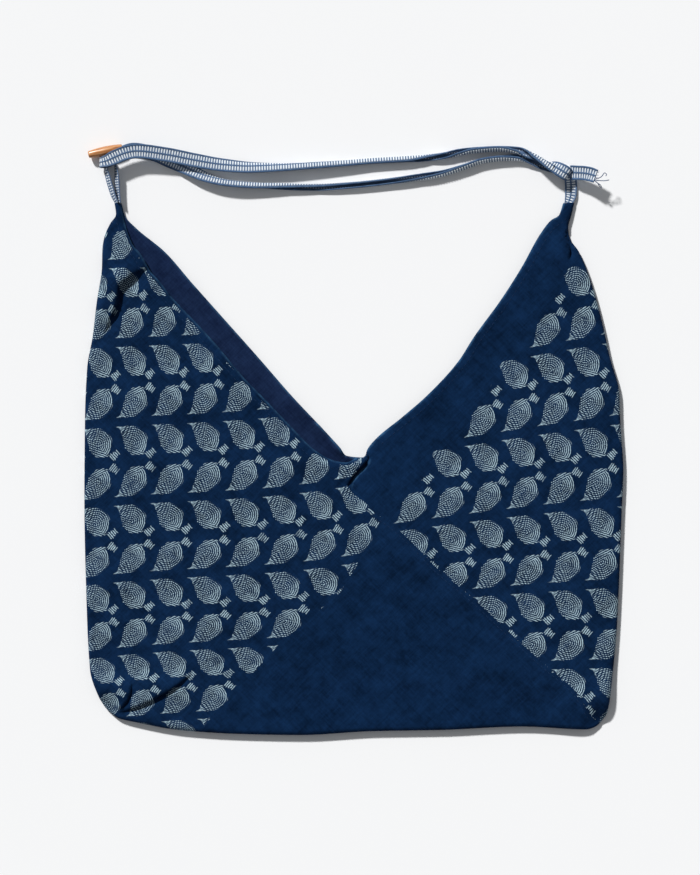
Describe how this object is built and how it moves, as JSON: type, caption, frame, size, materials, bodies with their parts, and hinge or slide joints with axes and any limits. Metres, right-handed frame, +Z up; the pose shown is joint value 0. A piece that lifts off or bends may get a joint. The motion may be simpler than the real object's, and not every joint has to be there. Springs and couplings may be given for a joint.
{
  "type": "tsuno bag",
  "caption": "Horned shoulder bag folded from one strip of leaf-printed indigo cotton, lying flat, with a woven tape strap looped over a wooden toggle.",
  "frame": {"origin": "middle of the outline of the bag as it lies, at table height", "axes": "+X across the bag, +Y up the bag from its base to its horns, +Z up from the table, out of the front"},
  "size_m": [0.5019, 0.5513, 0.0212],
  "materials": {
    "printed_cloth": "matt plain-woven cotton, indigo with pale leaf print",
    "plain_cloth": "matt plain-woven indigo cotton",
    "tape": "matt woven tape, navy with white ladder",
    "toggle_wood": "oiled satin"
  },
  "bodies": {
    "root": {"left_front": "printed_cloth", "left_back": "printed_cloth", "middle_front": "plain_cloth", "middle_back": "plain_cloth", "right_front": "printed_cloth", "right_back": "printed_cloth", "strap": "tape", "strap_knot": "tape", "strap_tail": "tape", "left_horn_loop": "tape", "right_horn_tape": "tape", "toggle": "toggle_wood"}
  },
  "joints": []
}
